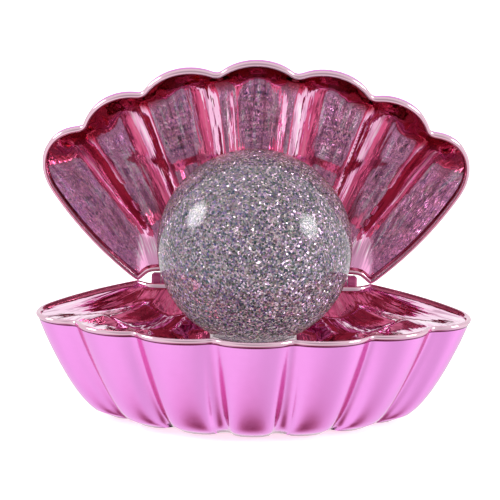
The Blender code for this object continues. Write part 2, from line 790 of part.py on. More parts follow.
def hose_path(inside):
    """Stations along the hose as (place, direction): straight over each spigot, curved between."""
    slope = rear_slope(BARB_DROP)
    inward = Vector((0.0, -math.cos(slope), math.sin(slope)))
    across = Vector((1.0, 0.0, 0.0))
    wall = Vector((BARB_X, -rear_wall(BARB_DROP), -BARB_DROP))
    start = wall + inward * (SPIGOT_START + GAP - inside)
    end = Vector((STONE_RIGHT + GAP * 2.0, -STONE_REACH, -STONE_DROP))
    p0 = start + inward * (SPIGOT_END - SPIGOT_START)
    p1 = p0 + inward * HOSE_HANDLE
    p3 = end + across * NIPPLE_LENGTH
    p2 = p3 + across * HOSE_HANDLE
    stations = [(start, inward)]
    for step in range(HOSE_STEPS + 1):
        t = step / HOSE_STEPS
        u = 1.0 - t
        place = p0 * u ** 3 + p1 * 3 * u * u * t + p2 * 3 * u * t * t + p3 * t ** 3
        along = (p1 - p0) * u * u + (p2 - p1) * 2 * u * t + (p3 - p2) * t * t
        stations.append((place, along.normalized()))
    stations.append((end, -across))
    return stations


def make_hose(frame, hose, inside):
    """Hose from the barb's inner spigot, round a quarter turn, to the stone's nipple."""
    builder = bmesh.new()
    skins = []
    for radius in (HOSE_OUTER, HOSE_INNER):
        skin = []
        for place, along in hose_path(inside):
            sideways = along.cross(Vector((0.0, 0.0, 1.0))).normalized()
            upwards = sideways.cross(along)
            ring = []
            for index in range(HOSE_SIDES):
                turn = 2.0 * math.pi * index / HOSE_SIDES
                offset = sideways * math.cos(turn) + upwards * math.sin(turn)
                ring.append(builder.verts.new(place + offset * radius))
            skin.append(ring)
        skins.append(skin)
    join_rings(builder, skins[0] + list(reversed(skins[1])) + [skins[0][0]])
    new_object("air_tube", builder, hose, frame)


def make_stone(frame, stone, plastic):
    """Cylindrical air stone with a nipple, lying in two cradles."""
    builder = bmesh.new()
    profile = [(0.0, STONE_LEFT), (STONE_RADIUS - STONE_BEVEL, STONE_LEFT)]
    profile += [(STONE_RADIUS, STONE_LEFT + STONE_BEVEL), (STONE_RADIUS, STONE_RIGHT - STONE_BEVEL)]
    profile += [(STONE_RADIUS - STONE_BEVEL, STONE_RIGHT), (HOSE_INNER - GAP, STONE_RIGHT)]
    tip = STONE_RIGHT + NIPPLE_LENGTH
    profile += [(HOSE_INNER - GAP, tip), (0.0, tip)]
    add_lathe(builder, profile, ROUND_STEPS, (0.0, -STONE_REACH, -STONE_DROP), "X")
    new_object("air_stone", builder, stone, frame)

    bottom = -SHELL_DEPTH + PLATE_THICK + 2.0 * GAP
    inner = STONE_RADIUS + GAP
    outer = inner + CLIP_WALL
    section = [(STONE_REACH + outer, bottom), (STONE_REACH + outer, -STONE_DROP)]
    for step in range(CLIP_STEPS + 1):
        turn = math.pi * step / CLIP_STEPS
        point = (STONE_REACH + inner * math.cos(turn), -STONE_DROP - inner * math.sin(turn))
        section.append(point)
    section += [(STONE_REACH - outer, -STONE_DROP), (STONE_REACH - outer, bottom)]
    for index, x in enumerate(CLIP_X):
        builder = bmesh.new()
        add_prism(builder, section, x - CLIP_WIDTH / 2.0, x + CLIP_WIDTH / 2.0)
        new_object(f"stone_clip_{index + 1}", builder, plastic, frame)


# ---------------------------------------------------------------- hinge

def bracket_section(side):
    """Plate that follows the rear wall, with a foot that reaches the barrel."""
    foot = BRACKET_FOOT
    top = BRACKET_TOP
    wall_top = rear_wall(top, side) - GAP
    wall_foot = rear_wall(foot, side) - GAP
    points = [(wall_top, top), (wall_foot, foot), (wall_foot - BRACKET_THICK, foot)]
    points += [(wall_top - BRACKET_THICK - BRACKET_TAPER, top + BRACKET_BEVEL)]
    return [(reach, side * height) for reach, height in points]


def arm_section(side):
    """Web between a barrel and its plate."""
    (near_back, near_drop), (far_back, far_drop) = WEB_ENDS
    wall = rear_wall(BRACKET_TOP + near_drop, side) - GAP
    points = [WEB_ROOTS[0], (wall + near_back, BRACKET_TOP + near_drop)]
    points += [(wall + far_back, BRACKET_TOP + far_drop), WEB_ROOTS[1]]
    return [(reach, side * height) for reach, height in points]


def add_barrel(builder, low_x, high_x, radius):
    """A cylinder along the hinge axis."""
    profile = [(0.0, low_x), (radius, low_x), (radius, high_x), (0.0, high_x)]
    add_lathe(builder, profile, ROUND_STEPS, axis="X")


def make_bracket(name, finish, parent, side, spans, plate_half, screw_x):
    """Hinge bracket: a plate on the rear wall, and barrels joined to it by webs."""
    builder = bmesh.new()
    add_prism(builder, bracket_section(side), 2.0 * GAP - plate_half, plate_half - 2.0 * GAP)
    bracket = new_object(name, builder, finish, parent)
    wall_holes(bracket, screw_x, BRACKET_SCREW_DROP, BRACKET_CLEARANCE, side, name + "_screw_guide")
    webs = bmesh.new()
    barrels = bmesh.new()
    for low, high in spans:
        add_prism(webs, arm_section(side), low + GAP, high - GAP)
        add_barrel(barrels, low, high, BARREL_RADIUS)
    combine(bracket, cutter(name + "_web_guide", webs, parent), "UNION")
    combine(bracket, cutter(name + "_barrel_guide", barrels, parent), "UNION")
    if side < 0.0:
        shelf = bmesh.new()
        root = rear_wall(-SHELF_TOP) - GAP - SHELF_SINK
        section = [(root, SHELF_TOP), (SHELF_REACH, SHELF_TOP)]
        section += [(SHELF_REACH, SHELF_TOP - SHELF_THICK), (root, SHELF_TOP - SHELF_ROOT)]
        add_prism(shelf, section, -SHELF_HALF, SHELF_HALF)
        combine(bracket, cutter(name + "_shelf_guide", shelf, parent), "UNION")
    hole = bmesh.new()
    add_barrel(hole, -PIN_CUT, PIN_CUT, PIN_HOLE)
    combine(bracket, cutter(name + "_pin_guide", hole, parent), "DIFFERENCE")


def make_bracket_screws(name, finish, parent, side, screw_x):
    """Screws that run forward through the bracket into the shell's rear wall."""
    start = BRACKET_THICK + BRACKET_TAPER + GAP * 2.0
    head, head_height = BRACKET_SCREW_HEAD
    shank = BRACKET_SCREW_SHANK
    top = start + head_height
    profile = [(0.0, top), (head * 0.7, top), (head, start + head_height * 0.4), (head, start)]
    profile += [(shank, start), (shank, -BRACKET_SCREW_END * 0.8), (0.0, -BRACKET_SCREW_END)]
    for index, x in enumerate(screw_x):
        builder = bmesh.new()
        add_lathe(builder, profile, SCREW_STEPS, (x, 0.0, 0.0))
        made = new_object(f"{name}_{index + 1}", builder, finish, parent)
        place_on_rear_wall(made, 0.0, BRACKET_SCREW_DROP, side)


def make_hinge(frame, lid_axis, dark, steel, rubber):
    """Both brackets, the pin, its caps and the opening stop."""
    inner = LID_BARREL_HALF + BARREL_GAP
    spans = [(inner, BARREL_END), (-BARREL_END, -inner)]
    make_bracket("base_hinge_bracket", dark, frame, -1.0, spans, BARREL_END, BRACKET_SCREW_X)
    spans = [(-LID_BARREL_HALF, LID_BARREL_HALF)]
    make_bracket("lid_hinge_bracket", dark, lid_axis, 1.0, spans, LID_BARREL_HALF, LID_SCREW_X)
    make_bracket_screws("base_bracket_screw", steel, frame, -1.0, BRACKET_SCREW_X)
    make_bracket_screws("lid_bracket_screw", steel, lid_axis, 1.0, LID_SCREW_X)

    builder = bmesh.new()
    add_barrel(builder, -PIN_HALF, PIN_HALF, PIN_RADIUS)
    new_object("hinge_pin", builder, steel, frame)
    depth, bevel = PIN_CAP
    for name, side in (("pin_cap_left", -1.0), ("pin_cap_right", 1.0)):
        builder = bmesh.new()
        near = side * (BARREL_END + GAP)
        deep = side * (PIN_HALF + GAP)
        far = side * (PIN_HALF + depth)
        rim = side * (PIN_HALF + depth - bevel)
        profile = [(0.0, deep), (PIN_RADIUS + GAP, deep), (PIN_RADIUS + GAP, near)]
        profile += [(BARREL_RADIUS, near), (BARREL_RADIUS, rim), (BARREL_RADIUS - bevel, far), (0.0, far)]
        add_lathe(builder, profile, ROUND_STEPS, axis="X")
        new_object(name, builder, dark, frame)

    builder = bmesh.new()
    low = SHELF_TOP + GAP
    add_slab(builder, rectangle(STOP_PAD[0], STOP_PAD[1], STOP_REACH), low, low + STOP_PAD[2])
    new_object("lid_stop_pad", builder, rubber, frame)


# ---------------------------------------------------------------- lid body

def make_lid(lid_axis, pink, mirror, steel):
    """Lid shell, fluted liner and the screws that join them."""
    shell = shell_sheet("lid_shell", pink, lid_axis, 1.0)
    crown = surface_height(shell, LINER_POSTS[0][0], LINER_POSTS[0][1], True)
    thicken(shell, SHELL_WALL, -1.0)
    round_holes(shell, LINER_POSTS, SCREW_CLEARANCE, crown - CROWN_CUT, crown + CROWN_CUT, "lid_hole_guide")
    bore = BRACKET_SCREW_BORE
    wall_holes(shell, LID_SCREW_X, BRACKET_SCREW_DROP, bore, 1.0, "lid_bracket_hole_guide")
    liner = fan_sheet("lid_liner", mirror, lid_axis, 1.0, liner_height)
    thicken(liner, SKIN, 1.0)
    screw_posts(liner, LINER_POSTS, 1.0, LID_DEPTH - SHELL_WALL - GAP * 2.0)
    head_z = LID_DEPTH + CROWN_RISE + SCREW_HEAD[1]
    make_screws("lid_screw", LINER_POSTS, head_z, -1.0, LID_SCREW_LENGTH, steel, lid_axis)


def make_frames():
    """Empties on the hinge axis: one for the base and one, turned open, for the lid."""
    frame = bpy.data.objects.new("base_frame", None)
    frame.location = (0.0, AXIS_Y, RIM_Z)
    bpy.context.collection.objects.link(frame)
    lid_axis = bpy.data.objects.new("lid_axis", None)
    lid_axis.location = (0.0, AXIS_Y, RIM_Z)
    lid_axis.rotation_euler = (-LID_OPEN, 0.0, 0.0)
    bpy.context.collection.objects.link(lid_axis)
    return frame, lid_axis


def build():
    """Makes every piece."""
    for old in list(bpy.data.objects):
        bpy.data.objects.remove(old, do_unlink=True)
    pink = material("pink_satin", (0.86, 0.28, 0.70), 0.22, 0.9)
    mirror = material("pink_mirror", (0.88, 0.20, 0.48), 0.06, 1.0)
    clear = material("clear_globe", (0.95, 0.95, 0.97), 0.03, 0.0, 0.9)
    glitter = material("silver_glitter", (0.55, 0.52, 0.56), 0.35, 0.8)
    dark = material("dark_pink_plastic", (0.55, 0.10, 0.30), 0.4, 0.0)
    steel = material("stainless_steel", (0.62, 0.62, 0.64), 0.3, 1.0)
    rubber = material("clear_rubber", (0.78, 0.76, 0.78), 0.6, 0.0)
    plastic = material("white_plastic", (0.85, 0.85, 0.86), 0.35, 0.0)
    hose = material("clear_hose", (0.80, 0.84, 0.86), 0.15, 0.0, 0.5)
    stone = material("air_stone_blue", (0.25, 0.38, 0.62), 0.9, 0.0)

    frame, lid_axis = make_frames()
    make_lower_half(frame, pink, mirror)
    make_base_plate(frame, dark, steel, rubber)
    make_globe(frame, clear, glitter, rubber)
    make_air_path(frame, plastic, rubber, hose, stone)
    make_hinge(frame, lid_axis, dark, steel, rubber)
    make_lid(lid_axis, pink, mirror, steel)


build()
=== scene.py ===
"""Finished look of the open clam-shell ornament.

Finer shells, mirror tray, fluted liner and glitter globe stand for the plain parts of the frame. Shapes are
drawn in hinge coordinates: x across, reach forward from the hinge axis, and height above the rim plane.
The lid is the same drawing turned upside down and swung open.
"""

import json
import math

import bmesh
import bpy
import numpy as np
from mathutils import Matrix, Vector


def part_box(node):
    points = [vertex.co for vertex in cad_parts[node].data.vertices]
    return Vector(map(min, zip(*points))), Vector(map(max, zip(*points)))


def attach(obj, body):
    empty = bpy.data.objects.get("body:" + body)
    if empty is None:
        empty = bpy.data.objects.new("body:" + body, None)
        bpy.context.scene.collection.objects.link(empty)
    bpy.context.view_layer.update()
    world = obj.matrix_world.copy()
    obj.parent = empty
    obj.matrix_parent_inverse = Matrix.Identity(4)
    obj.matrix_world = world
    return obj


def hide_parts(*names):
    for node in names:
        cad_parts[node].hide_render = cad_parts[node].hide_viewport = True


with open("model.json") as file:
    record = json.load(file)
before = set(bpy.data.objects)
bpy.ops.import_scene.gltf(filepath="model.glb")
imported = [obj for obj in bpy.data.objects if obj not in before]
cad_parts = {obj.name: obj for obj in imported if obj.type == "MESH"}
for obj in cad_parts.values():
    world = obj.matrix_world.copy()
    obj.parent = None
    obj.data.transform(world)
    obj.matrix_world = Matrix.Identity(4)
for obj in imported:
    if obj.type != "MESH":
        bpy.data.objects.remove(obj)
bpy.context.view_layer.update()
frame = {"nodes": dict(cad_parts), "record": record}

# Plan outline as fractions of the width: notches between lobes, then the side and the hinge corner.
# Its front ends a few steps before SIDE_TOP.
NOTCHES = ((0.0920, 0.5906), (0.2679, 0.5343), (0.4051, 0.4394))
TIP_HANDLES = ((0.495, 0.436), (0.530, 0.335))
SIDE_TOP = (0.475, 0.245)
HINGE_CORNER = (0.281, -0.009)
REAR_BEND = (0.250, 0.024)
LOBE_BULGE = 0.20
SIDE_BULGE = 0.04
LOBE_STEPS = 28
SIDE_STEPS = 26
EAR_STEPS = 7
REAR_STEPS = 18
FRONT_END = 3.5 * LOBE_STEPS - 6
NOTCH_PASSES = 2
FRONT_PASSES = 60
WALL_CENTRE_SHARE = 0.22
FAN_CENTRE_SHARE = 0.13

# Shell walls, in metres. Drafts are (amount, power, corner), and lip rings (inset, depth, tone: 1 polished,
# -1 painted seam shadow)
WALL_LEVELS = 26
WALL_SPREAD = 0.8
SKIN_STEP = 0.00045
SHELL_WALL = 0.0019
LOWER_DRAFT = (0.240, 1.2, 0.094)
LID_DRAFT = (0.37, 0.9, 0.07)
LID_BEAD = 0.0034
LIP = ((0.00045, 0.00230, 0.0), (0.00045, 0.00205, -1.0), (0.00030, 0.00175, -1.0), (0.00008, 0.00140, 1.0),
       (0.0, 0.00105, 1.0), (0.00004, 0.00070, 1.0), (0.00022, 0.00038, 1.0), (0.00055, 0.00013, 1.0),
       (0.00100, 0.0, 1.0), (0.00145, 0.00013, 1.0), (0.00180, 0.00050, 1.0), (0.00195, 0.00120, 1.0))
FOOT_OPENING = 0.56
GROOVE = 0.0034
GROOVE_POWER = 0.7
LID_DEPTH = 0.027
CROWN_RISE = 0.0020
CROWN_RINGS = 14

# Mirror tray and liner. Front and side bands are (depth, width); a sheen or a start is (from, over).
FAN_INSET = 0.0021
EDGE_DROP = 0.0009
FAN_RINGS = 54
FAN_SPREAD = 0.9
FAN_THICK = 0.0011
FLUTE_ORIGIN_SHARE = -0.45
RIDGE_ROUNDING = 0.05
TIP_CREST = 0.45
RIDGE_POWER = 2.0
RIDGE_LIMIT = 0.9
FLUTE_START = (0.005, 0.010)
STREAK_START = 0.007
SHEEN = (0.0035, 0.0040)
LINER = {"front": (0.0070, 0.0125), "side": (0.0080, 0.0115), "bowl": 0.0058, "power": 1.0,
         "size": (0.54, 0.42), "middle": 0.25, "flute": 0.0062}
TRAY = {"front": (0.0004, 0.0060), "side": (0.0022, 0.0100), "bowl": 0.0135, "power": 2.0,
        "size": (0.46, 0.40), "middle": 0.27, "flute": 0.0042}
BAND_STRAIGHT = 0.7
BAND_ROUND = 0.6
BOWL_RISE = 0.014
RIM_BLEND = 0.0015
TRAY_DEPTH = 0.0150
PAD_RADIUS = 0.0210
PAD_BLEND = 0.0070

# Globe and glitter
GLOBE_RINGS = 72
GLOBE_STEPS = 120
CORE_RADIUS = 0.94
GLITTER_SCALE = 1700.0
GLITTER_TILT = 1.3
FLAKES = 4200
FLAKE_SEED = 20
FLAKE_SIDES = 6
FLAKE_TILT = 0.32
FLAKE_LIFT = (0.004, 0.022)
FLAKE_SIZE = (0.00018, 0.00036)
FLAKE_THICK = 0.00004

# Tones of satin, mirrors and glitter, some of them painted light, and darker painted shade for what one
# mirror shows of another
SATIN = (0.89, 0.32, 0.82)
SATIN_CLOUD = (0.87, 0.34, 0.81)
SATIN_GRAZING_SHEEN = (0.66, 0.46, 0.54)
SATIN_REFLECTED_SHADE = (0.82, 0.22, 0.52)
LIP_TONE = (0.76, 0.50, 0.61)
SEAM_SHADOW = (0.16, 0.03, 0.06)
MIRROR_FACE = (0.93, 0.43, 0.68)
MIRROR_GRAZING_SHEEN = (0.98, 0.74, 0.92)
MIRROR_BAND_DARK_REFLECTION = (0.66, 0.09, 0.15)
MIRROR_SHEEN = (1.0, 0.46, 0.76)
STREAK_REFLECTION_LIGHT = (1.0, 0.90, 0.97)
STREAK_REFLECTION_DARK = (0.50, 0.20, 0.34)
MIRROR_REFLECTED_SHADES = ((0.72, 0.20, 0.32), (0.44, 0.09, 0.14))
GLITTER_TONES = ((0.0, (0.02, 0.01, 0.02)), (0.25, (0.14, 0.09, 0.14)), (0.60, (0.29, 0.22, 0.28)),
                 (0.88, (0.55, 0.50, 0.55)), (1.0, (0.98, 0.96, 1.0)))

# Camera
YAW = math.radians(0.130)
ELEVATION = math.radians(11.824)
ROLL = math.radians(0.928)
DISTANCE = 0.9798
AIM = (-0.0016, -0.0110, 0.05985)
LENS = 204.7

# Light tent: overall level, and tones by the height of the direction from -1 (down) to 1 (up)
BASE_LIGHT = 1.0
TENT_TONES = ((-1.0, (0.26, 0.08, 0.12)), (-0.965, (0.50, 0.24, 0.30)), (-0.90, (0.90, 0.76, 0.82)),
              (-0.78, (1.0, 1.0, 1.0)), (1.0, (1.0, 1.0, 1.0)))

joint = frame["record"]["behaviour"]["joints"][0]
AXIS = np.array(joint["pos_m"])
LID_OPEN = math.radians(65.0)


# ---------------------------------------------------------------- outline and section formulas

def arc(start, end, bulge, steps):
    """Points on the arc from start to end, without the end, that swells away from the plan's middle."""
    a = np.array(start)
    b = np.array(end)
    chord = np.linalg.norm(b - a)
    half = 2.0 * math.atan(2.0 * bulge)
    radius = chord / (2.0 * math.sin(half))
    along = (b - a) / chord
    out = np.array((along[1], -along[0]))
    middle = (a + b) / 2.0
    if out @ (middle - (0.0, WALL_CENTRE_SHARE)) < 0.0:
        out = -out
    angle = -half + 2.0 * half * np.arange(steps) / steps
    rise = radius * (np.cos(angle) - math.cos(half))
    return middle + np.outer(radius * np.sin(angle), along) + np.outer(rise, out)


def unit_outline():
    """Closed plan outline in fractions of the width.

    Also how near each point is to a notch, and 1 where the point belongs to a front lobe.
    """
    first = NOTCHES[0]
    share = np.arange(LOBE_STEPS) / LOBE_STEPS
    lobe_crest = (2.0 * share - 1.0) ** 2
    front = arc((-first[0], first[1]), first, LOBE_BULGE, LOBE_STEPS)
    points = [front[LOBE_STEPS // 2:]]
    crests = [lobe_crest[LOBE_STEPS // 2:]]
    for start, end in zip(NOTCHES, NOTCHES[1:]):
        points.append(arc(start, end, LOBE_BULGE, LOBE_STEPS))
        crests.append(lobe_crest)
    u = 1.0 - share
    handles = np.array((NOTCHES[-1], TIP_HANDLES[0], TIP_HANDLES[1], SIDE_TOP))
    weights = np.stack((u ** 3, 3 * u * u * share, 3 * u * share * share, share ** 3), axis=1)
    points.append(weights @ handles)
    crests.append(u ** 2)
    points.append(arc(SIDE_TOP, HINGE_CORNER, SIDE_BULGE, SIDE_STEPS))
    crests.append(np.zeros(SIDE_STEPS))
    rear_middle = (0.0, REAR_BEND[1])
    for start, end, steps in ((HINGE_CORNER, REAR_BEND, EAR_STEPS), (REAR_BEND, rear_middle, REAR_STEPS)):
        points.append(np.linspace(start, end, steps, endpoint=False))
        crests.append(np.zeros(steps))
    points.append(np.array([rear_middle]))
    crests.append(np.zeros(1))
    right = np.concatenate(points)
    crest = np.concatenate(crests)
    front = (np.arange(len(right)) < FRONT_END).astype(float)
    left = right[-2:0:-1] * (-1.0, 1.0)
    mirrored = (np.concatenate((values, values[-2:0:-1])) for values in (crest, front))
    return (np.concatenate((right, left)), *mirrored)


def eased(value):
    """Smooth step from 0 to 1."""
    value = np.clip(value, 0.0, 1.0)
    return value * value * (3.0 - 2.0 * value)


def neighbour_mean(values):
    """Average of the points before and after each point of a loop."""
    return (np.roll(values, 1, axis=0) + np.roll(values, -1, axis=0)) / 2.0


def softened(points, crest):
    """Rounds the notches and corners a little."""
    for _ in range(NOTCH_PASSES):
        points = (points + neighbour_mean(points)) / 2.0
        crest = (crest + neighbour_mean(crest)) / 2.0
    return points, crest


def inward_of(outline):
    """Inward normals of a closed outline."""
    tangent = np.roll(outline, -1, axis=0) - np.roll(outline, 1, axis=0)
    tangent = tangent / np.linalg.norm(tangent, axis=1)[:, None]
    inward = np.stack((tangent[:, 1], -tangent[:, 0]), axis=1)
    if (inward * ((0.0, WALL_CENTRE) - outline)).sum() < 0.0:
        inward = -inward
    return inward


def inset(outline, distance):
    """Moves every outline point inwards along its normal."""
    return outline + inward_of(outline) * distance


def scaled(outline, centre, scale):
    """The outline shrunk towards a point on the middle line."""
    return (outline - (0.0, centre)) * scale + (0.0, centre)


def drawn_in(share, draft):
    """The outline pulled towards the middle at a share of the wall's height."""
    amount, power, corner = draft
    pull = amount * share ** power + corner * (1.0 - math.sqrt(max(0.0, 1.0 - share ** 6)))
    return scaled(OUTLINE, WALL_CENTRE, 1.0 - pull)


def lower_wall(share):
    """The lower half's outline at a share of its depth, with grooves that deepen downwards."""
    drawn = drawn_in(share, LOWER_DRAFT)
    return drawn + inward_of(drawn) * (GROOVE * share ** GROOVE_POWER * CREST ** 2)[:, None]


def lid_wall(share):
    """The lid's outline at a share of its depth: an upright bead, then a low dome."""
    bead = LID_BEAD / LID_DEPTH
    drawn = drawn_in(max(0.0, share - bead) / (1.0 - bead), LID_DRAFT)
    return drawn + inward_of(drawn) * (GROOVE * share * CREST ** 2)[:, None]


def ring_at(outline, height):
    """Plan points and one height (or one per point) as rows of x, reach, height."""
    heights = np.broadcast_to(height, len(outline))
    return np.column_stack((outline, heights))


# ---------------------------------------------------------------- mesh tools

def to_world(points, lid):
    """Hinge coordinates to world metres. Lid points are mirrored in the rim plane and swung open."""
    x, reach, height = points.T
    if not lid:
        return np.column_stack((x, AXIS[1] - reach, AXIS[2] + height))
    turn = -LID_OPEN
    y = -reach * math.cos(turn) + height * math.sin(turn)
    z = -reach * math.sin(turn) - height * math.cos(turn)
    return np.column_stack((x, AXIS[1] + y, AXIS[2] + z))


def band_faces(low, high, count):
    """Quads between two loops of equal length that start at the vertex numbers low and high."""
    return [(low + i, low + (i + 1) % count, high + (i + 1) % count, high + i) for i in range(count)]


def ring_solid(name, rings, lid, first_pole=None, last_pole=None):
    """Closed body skinned over rings. Without poles the last ring joins the first."""
    count = len(rings[0])
    points = list(rings)
    faces = []
    for index in range(len(rings) - 1):
        faces += band_faces(index * count, (index + 1) * count, count)
    total = len(rings) * count
    if first_pole is None:
        faces += band_faces((len(rings) - 1) * count, 0, count)
    else:
        points.append(np.array([first_pole, last_pole]))
        last = total - count
        faces += [(i, (i + 1) % count, total) for i in range(count)]
        faces += [(last + i, last + (i + 1) % count, total + 1) for i in range(count)]
    return new_piece(name, to_world(np.concatenate(points), lid), faces)


def new_piece(name, points, faces, sharp=50.0):
    """A smooth mesh object with outward faces."""
    mesh = bpy.data.meshes.new(name)
    mesh.from_pydata([tuple(p) for p in points], [], faces)
    builder = bmesh.new()
    builder.from_mesh(mesh)
    bmesh.ops.recalc_face_normals(builder, faces=builder.faces)
    builder.to_mesh(mesh)
    builder.free()
    mesh.shade_smooth()
    mesh.set_sharp_from_angle(angle=math.radians(sharp))
    made = bpy.data.objects.new(name, mesh)
    bpy.context.scene.collection.objects.link(made)
    return made


def mark_lip(piece, first):
    """Keeps each lip ring's tone for the finish: 1 polished, -1 painted shadow in the seam under it, 0
    elsewhere.
    """
    count = len(OUTLINE)
    values = np.zeros(len(piece.data.vertices), dtype=np.float32)
    tones = np.repeat([tone for _, _, tone in LIP], count)
    values[first * count:first * count + len(tones)] = tones
    attribute = piece.data.attributes.new("lip", "FLOAT", "POINT")
    attribute.data.foreach_set("value", values)


def finish_piece(piece, finish, body, node):
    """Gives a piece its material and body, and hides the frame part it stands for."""
    piece.data.materials.append(finish)
    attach(piece, body)
    if node is not None:
        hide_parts(node)


# ---------------------------------------------------------------- shells, tray and liner

def outer_rings(wall, depth):
    """Outer wall from the foot up to just under the lip."""
    rings = []
    start = LIP[0][1]
    for step in range(WALL_LEVELS):
        level = depth + (start - depth) * (step / WALL_LEVELS) ** WALL_SPREAD
        rings.append(ring_at(inset(wall(level / depth), SKIN_STEP), -level))
    return rings


def lip_rings(wall, depth):
    """Rounded lip from outside to inside."""
    return [ring_at(inset(wall(level / depth), distance), -level) for distance, level, _ in LIP]


def inner_rings(wall, depth):
    """Inner wall from under the lip down to the floor of the shell."""
    rings = []
    deepest = depth - SHELL_WALL
    for step in range(1, WALL_LEVELS + 1):
        level = LIP[-1][1] + (deepest - LIP[-1][1]) * (step / WALL_LEVELS) ** WALL_SPREAD
        rings.append(ring_at(inset(wall(level / deepest), SHELL_WALL), -level))
    return rings


def make_lower_shell(finish):
    """Lower half with the opening for the base plate."""
    hole = scaled(OUTLINE, WALL_CENTRE, FOOT_OPENING)
    rings = [ring_at(hole, -SHELL_DEPTH)]
    rings += outer_rings(lower_wall, SHELL_DEPTH) + lip_rings(lower_wall, SHELL_DEPTH)
    rings += inner_rings(lower_wall, SHELL_DEPTH)
    rings.append(ring_at(hole, -SHELL_DEPTH + SHELL_WALL))
    made = ring_solid("lower_shell_skin", rings, False)
    mark_lip(made, 1 + WALL_LEVELS)
    finish_piece(made, finish, "base", "lower_shell")


def crown_rings(depth, distance):
    """Rings of the gently domed crown, from the middle outwards."""
    rings = []
    edge = inset(lid_wall(1.0), distance)
    for step in range(1, CROWN_RINGS + 1):
        share = step / (CROWN_RINGS + 1)
        rise = CROWN_RISE * (1.0 - share ** 2)
        rings.append(ring_at(scaled(edge, WALL_CENTRE, share), -depth - rise))
    return rings


def make_lid_shell(finish):
    """Lid with its closed crown."""
    inner_depth = LID_DEPTH - SHELL_WALL
    rings = crown_rings(LID_DEPTH, SKIN_STEP) + outer_rings(lid_wall, LID_DEPTH)
    rings += lip_rings(lid_wall, LID_DEPTH) + inner_rings(lid_wall, LID_DEPTH)
    rings += reversed(crown_rings(inner_depth, SHELL_WALL))
    top = (0.0, WALL_CENTRE, -LID_DEPTH - CROWN_RISE)
    under = (0.0, WALL_CENTRE, -inner_depth - CROWN_RISE)
    made = ring_solid("lid_shell_skin", rings, True, top, under)
    mark_lip(made, CROWN_RINGS + WALL_LEVELS)
    finish_piece(made, finish, "lid", "lid_shell")


def rim_distance(points):
    """Distance from each plan point to the rim, and how far the rim there belongs to the front lobes."""
    start = OUTLINE
    along = np.roll(OUTLINE, -1, axis=0) - start
    length = (along ** 2).sum(axis=1)
    share = ((points[:, None, :] - start) * along).sum(axis=2) / length
    share = np.clip(share, 0.0, 1.0)
    away = np.linalg.norm(start + share[:, :, None] * along - points[:, None, :], axis=2)
    weight = np.exp(-(away - away.min(axis=1)[:, None]) / RIM_BLEND)
    front = (weight * FRONT).sum(axis=1) / weight.sum(axis=1)
    return away.min(axis=1), front


def flute_crest(points):
    """1 on a ridge and 0 in mid-trough, lower on the tip's outer half.

    The ridges fan out from a point behind the hinge through the notches.
    """
    angle = np.abs(np.arctan2(points[:, 0], points[:, 1] - FLUTE_ORIGIN))
    ridges = [math.atan2(x * WIDTH, y * WIDTH - FLUTE_ORIGIN) for x, y in NOTCHES]
    borders = [-ridges[0]] + ridges + [2.0 * ridges[-1] - ridges[-2]]
    place = np.interp(angle, borders, range(len(borders)))
    off_ridge = 1.0 - np.abs(2.0 * (place % 1.0) - 1.0)
    off_ridge = np.sqrt(off_ridge ** 2 + RIDGE_ROUNDING ** 2) - RIDGE_ROUNDING
    crest = (1.0 - off_ridge) ** RIDGE_POWER
    return np.where(angle > (borders[-2] + borders[-1]) / 2.0, TIP_CREST * crest, crest)


def fan_height(points, shape):
    """Height of a fluted mirror surface: an edge band, a bowl and troughs along the lobes."""
    away, front = rim_distance(points)
    depth = shape["side"][0] + (shape["front"][0] - shape["side"][0]) * front
    width = shape["side"][1] + (shape["front"][1] - shape["side"][1]) * front
    share = np.clip(away / width, 0.0, BAND_STRAIGHT + BAND_ROUND)
    rounded = 1.0 - (1.0 - BAND_STRAIGHT) * (1.0 - (share - BAND_STRAIGHT) / BAND_ROUND) ** 2
    edge = depth * np.where(share < BAND_STRAIGHT, share, rounded)
    across = points[:, 0] / (shape["size"][0] * WIDTH)
    ahead = (points[:, 1] - shape["middle"] * WIDTH) / (shape["size"][1] * WIDTH)
    inside = np.clip(1.0 - across ** 2 - ahead ** 2, 0.0, 1.0) ** shape["power"]
    dish = shape["bowl"] * inside * eased(away / BOWL_RISE)
    reach = (points[:, 1] - FLUTE_ORIGIN) / (OUTLINE[:, 1].max() - FLUTE_ORIGIN)
    ridge = shape["flute"] * reach * flute_crest(points)
    ridge = ridge * eased((away - FLUTE_START[0]) / FLUTE_START[1])
    limit = RIDGE_LIMIT * (edge + dish) + 1e-6
    return ridge / (1.0 + (ridge / limit) ** 3) ** (1.0 / 3.0) - edge - dish


def tray_height(points):
    """The lower fan with a flat round pad under the globe."""
    height = fan_height(points, TRAY)
    away = np.linalg.norm(points - (0.0, GLOBE_REACH), axis=1)
    return height + (-TRAY_DEPTH - height) * eased((PAD_RADIUS + PAD_BLEND - away) / PAD_BLEND)


def liner_height(points):
    """The upper fan."""
    return fan_height(points, LINER)


